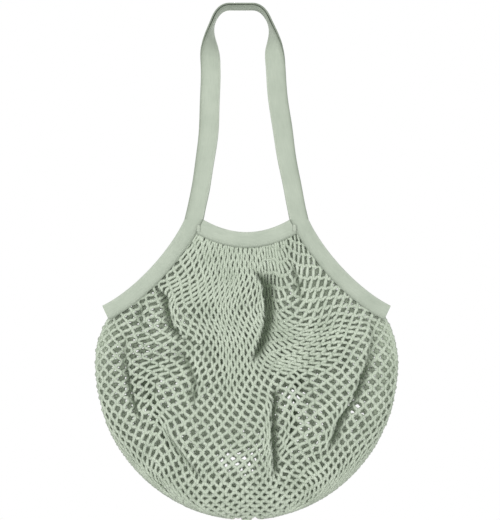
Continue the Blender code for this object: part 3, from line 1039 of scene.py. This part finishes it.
def strap_section(share, hand, sign, length):
    """Points round the strap, their run, and the stitches' places and directions on its two faces."""
    middle, width_way, thick_way = strap_frame(share, sign)
    z = middle[2]
    width = strap_width(z)
    half = mix(FOOT_HALF, STRAP_HALF, float(smooth(z, FOOT_Z, FOOT_Z + 0.022)))
    sway = 0.0004 * math.sin(length * 75 + hand) * float(smooth(z, FOOT_Z, FOOT_Z + 0.06))
    shift = LEAN * float(smooth(z, FULL_FROM_Z, 0.02)) + sway * float(share < SHOULDER_SHARE)
    # The open edge, with the stitches, is on the inside of the loop
    profile = strap_profile(width, half) * np.array((-1.0, 1.0))
    points = middle + width_way * profile[:, :1] + thick_way * profile[:, 1:]
    points[:, 0] = hand * points[:, 0] + shift
    seam = []
    for face in (1, -1):
        spot = middle + width_way * (-(width / 2 - STRAP_SEAM_INSET)) + thick_way * face * (half - 0.00005)
        spot[0] = hand * spot[0] + shift
        seam.append((spot, thick_way * face * np.array((hand, 1.0, 1.0))))
    return points, tape_run(length, profile[:, 0] + width / 2, width), seam


def build_handle(side, sign):
    """The whole loop: up from the left foot, over the top and down to the right foot."""
    parts = (np.linspace(0, 0.42, 40)[:-1], np.linspace(0.42, 0.72, 60)[:-1], np.linspace(0.72, 1.0, 30))
    shares = np.concatenate(parts)
    order = [(-1, share) for share in shares] + [(1, share) for share in shares[::-1][1:]]
    sections, runs, seams = [], [], []
    length, before = 0.0, None
    for hand, share in order:
        centre = handle_centre(share) * np.array((hand, 1))
        if before is not None:
            length += float(np.linalg.norm(centre - before))
        before = centre
        points, run, seam = strap_section(share, hand, sign, length)
        sections.append(points)
        runs.append(run)
        seams.append(seam)
    piece = tape_piece(f"{side}_handle_tape", sections, runs)
    sewn = seams[4:-4]
    lines = [([seam[i][0] for seam in sewn], [seam[i][1] for seam in sewn]) for i in (0, 1)]
    seam_piece = stitches(f"{side}_handle_stitching", lines)
    declare_tape(f"{side}_handle_strap")
    for part in (piece, seam_piece):
        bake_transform(part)


# Corners and gather ---

OVERSEW_TURNS = 18
OVERSEW_HALF = 0.0068  # half the length that is oversewn
GATHER_TURNS = 2.15
GATHER_CORD = 0.0010


def build_corner(label, hand):
    """The oversewing between the tapes' ends at a side corner."""
    along = unit(rim_edge(1.0) - rim_edge(0.9))
    across = inward(1.0)
    tip = rim_edge(1.0) + across * (BINDING_WIDTH / 2)
    count = (OVERSEW_TURNS + 1) * 6
    path = []
    for i in range(count):
        share = i / (count - 1)
        angle = 2 * math.pi * OVERSEW_TURNS * share
        back = -0.0028 + 0.0024 * math.cos(angle)
        place = tip + across * mix(-OVERSEW_HALF, OVERSEW_HALF, share) + along * back
        half = rim_depth(place[0], place[1]) - BINDING_HALF - 0.0004
        path.append((hand * place[0], 0.9 * float(half) * math.sin(angle), place[1]))
    facing = (along[0] * hand, 0.0, along[1])
    sewn_thread(f"{label}_corner_oversewing", path, 0.00035, facing, f"{label}_corner_seam", "pouch")


def build_gather():
    """The cord that draws the bottom of the net together, wound twice."""
    low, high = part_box("bottom_gather")
    middle = (low + high) / 2
    radius = (high.x - low.x) / 2 - 0.0014
    count = 150
    path = []
    for i in range(count + 1):
        share = i / count
        angle = 2 * math.pi * GATHER_TURNS * share
        path.append((middle.x + radius * math.cos(angle), middle.y + radius * math.sin(angle),
                     middle.z + mix(-0.0007, 0.0009, share)))
    path = np.array(path)
    facing = unit(np.stack((path[:, 0] - middle.x, path[:, 1] - middle.y, np.zeros(len(path))), 1))
    rings, angles = cord_rings(path, np.full(len(path), GATHER_CORD), np.ones(len(path)), facing)
    # Painted shade mask: the side of the cord that faces the bag's middle
    inner = smooth(-np.sin(angles), 0.0, 1.0).reshape(-1)
    piece = new_object("bottom_gather_cord", rings, grid_faces(len(path), RING), GATHER,
                       [("run", cord_run(path, angles, 0)), ("inner", inner)])
    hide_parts("bottom_gather")
    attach(piece, "pouch")


build_net("front", -1, 1)
build_net("back", 1, 2)
for bag_side, side_sign in (("front", -1), ("back", 1)):
    build_side_tapes(bag_side, side_sign)
    build_mouth_tape(bag_side, side_sign)
    build_tacks(bag_side, side_sign)
    build_handle(bag_side, side_sign)
build_corner("left", -1)
build_corner("right", 1)
build_gather()


# Floor, light and camera ---

FLOOR_Z = -0.95
FLOOR_RINGS = ((0.6, 0.0), (0.95, 0.0), (1.02, 0.002), (1.04, 0.010), (1.04, 0.025))  # radius, drop
WORLD_LIGHT = 0.50
LENS = 82.05
SENSOR = 36.0
# Square area lights: name, place, aim, size, power
LIGHTS = (
    ("key", (-1.1, -1.5, 0.55), (0, 0, -0.38), 0.9, 17.0),
    ("front", (0.0, -2.1, -0.25), (0, 0, -0.40), 0.6, 14.5),
    ("fill", (1.3, -1.3, -0.1), (0, 0, -0.4), 1.2, 4.5),
    ("rear", (0.6, 1.6, 0.6), (0, 0, -0.4), 1.2, 24.0),
)


def build_floor():
    count = 96
    turns = [2 * math.pi * i / count for i in range(count)]
    points = [(radius * math.cos(turn), radius * math.sin(turn), FLOOR_Z - drop)
              for radius, drop in FLOOR_RINGS for turn in turns]
    nodes = Nodes("pale_floor")
    patch = nodes.noise(3.0, 2.0, nodes.place())
    tone = nodes.colour_mix(patch, rgb(0.86, 0.86, 0.85), rgb(0.90, 0.90, 0.895))
    material = nodes.finish(tone, nodes.noise(60.0), 0.05, 0.001, 0.7, 0.0)
    new_object("floor", points, grid_faces(len(FLOOR_RINGS), count), material)


def area_light(name, place, aim, size, power):
    light = bpy.data.lights.new(name, "AREA")
    light.shape = "SQUARE"
    light.size = size
    light.energy = power
    lamp = bpy.data.objects.new(name, light)
    lamp.location = place
    lamp.rotation_euler = (Vector(aim) - Vector(place)).to_track_quat("-Z", "Y").to_euler()
    bpy.context.collection.objects.link(lamp)


def build_world():
    """A white ground for the camera, and a soft light of its own for the bag."""
    world = bpy.data.worlds.new("studio")
    world.use_nodes = True
    tree = world.node_tree
    seen = tree.nodes["Background"]
    seen.inputs[0].default_value = rgb(1.0, 1.0, 1.0)
    seen.inputs[1].default_value = 1.0
    lit = tree.nodes.new("ShaderNodeBackground")
    lit.inputs[0].default_value = rgb(0.97, 0.99, 1.0)
    lit.inputs[1].default_value = WORLD_LIGHT
    path = tree.nodes.new("ShaderNodeLightPath")
    blend = tree.nodes.new("ShaderNodeMixShader")
    tree.links.new(path.outputs["Is Camera Ray"], blend.inputs[0])
    tree.links.new(lit.outputs[0], blend.inputs[1])
    tree.links.new(seen.outputs[0], blend.inputs[2])
    tree.links.new(blend.outputs[0], tree.nodes["World Output"].inputs[0])
    bpy.context.scene.world = world


def build_camera():
    camera = bpy.data.cameras.new("camera")
    camera.sensor_width = SENSOR
    camera.lens = LENS
    eye = bpy.data.objects.new("camera", camera)
    eye.location = (SIGHT_X, -SIGHT, SIGHT_Z)
    eye.rotation_euler = (math.pi / 2, 0.0, 0.0)
    bpy.context.collection.objects.link(eye)
    bpy.context.scene.camera = eye


build_floor()
for light_values in LIGHTS:
    area_light(*light_values)
build_world()
build_camera()
bpy.context.scene.view_settings.view_transform = "Standard"
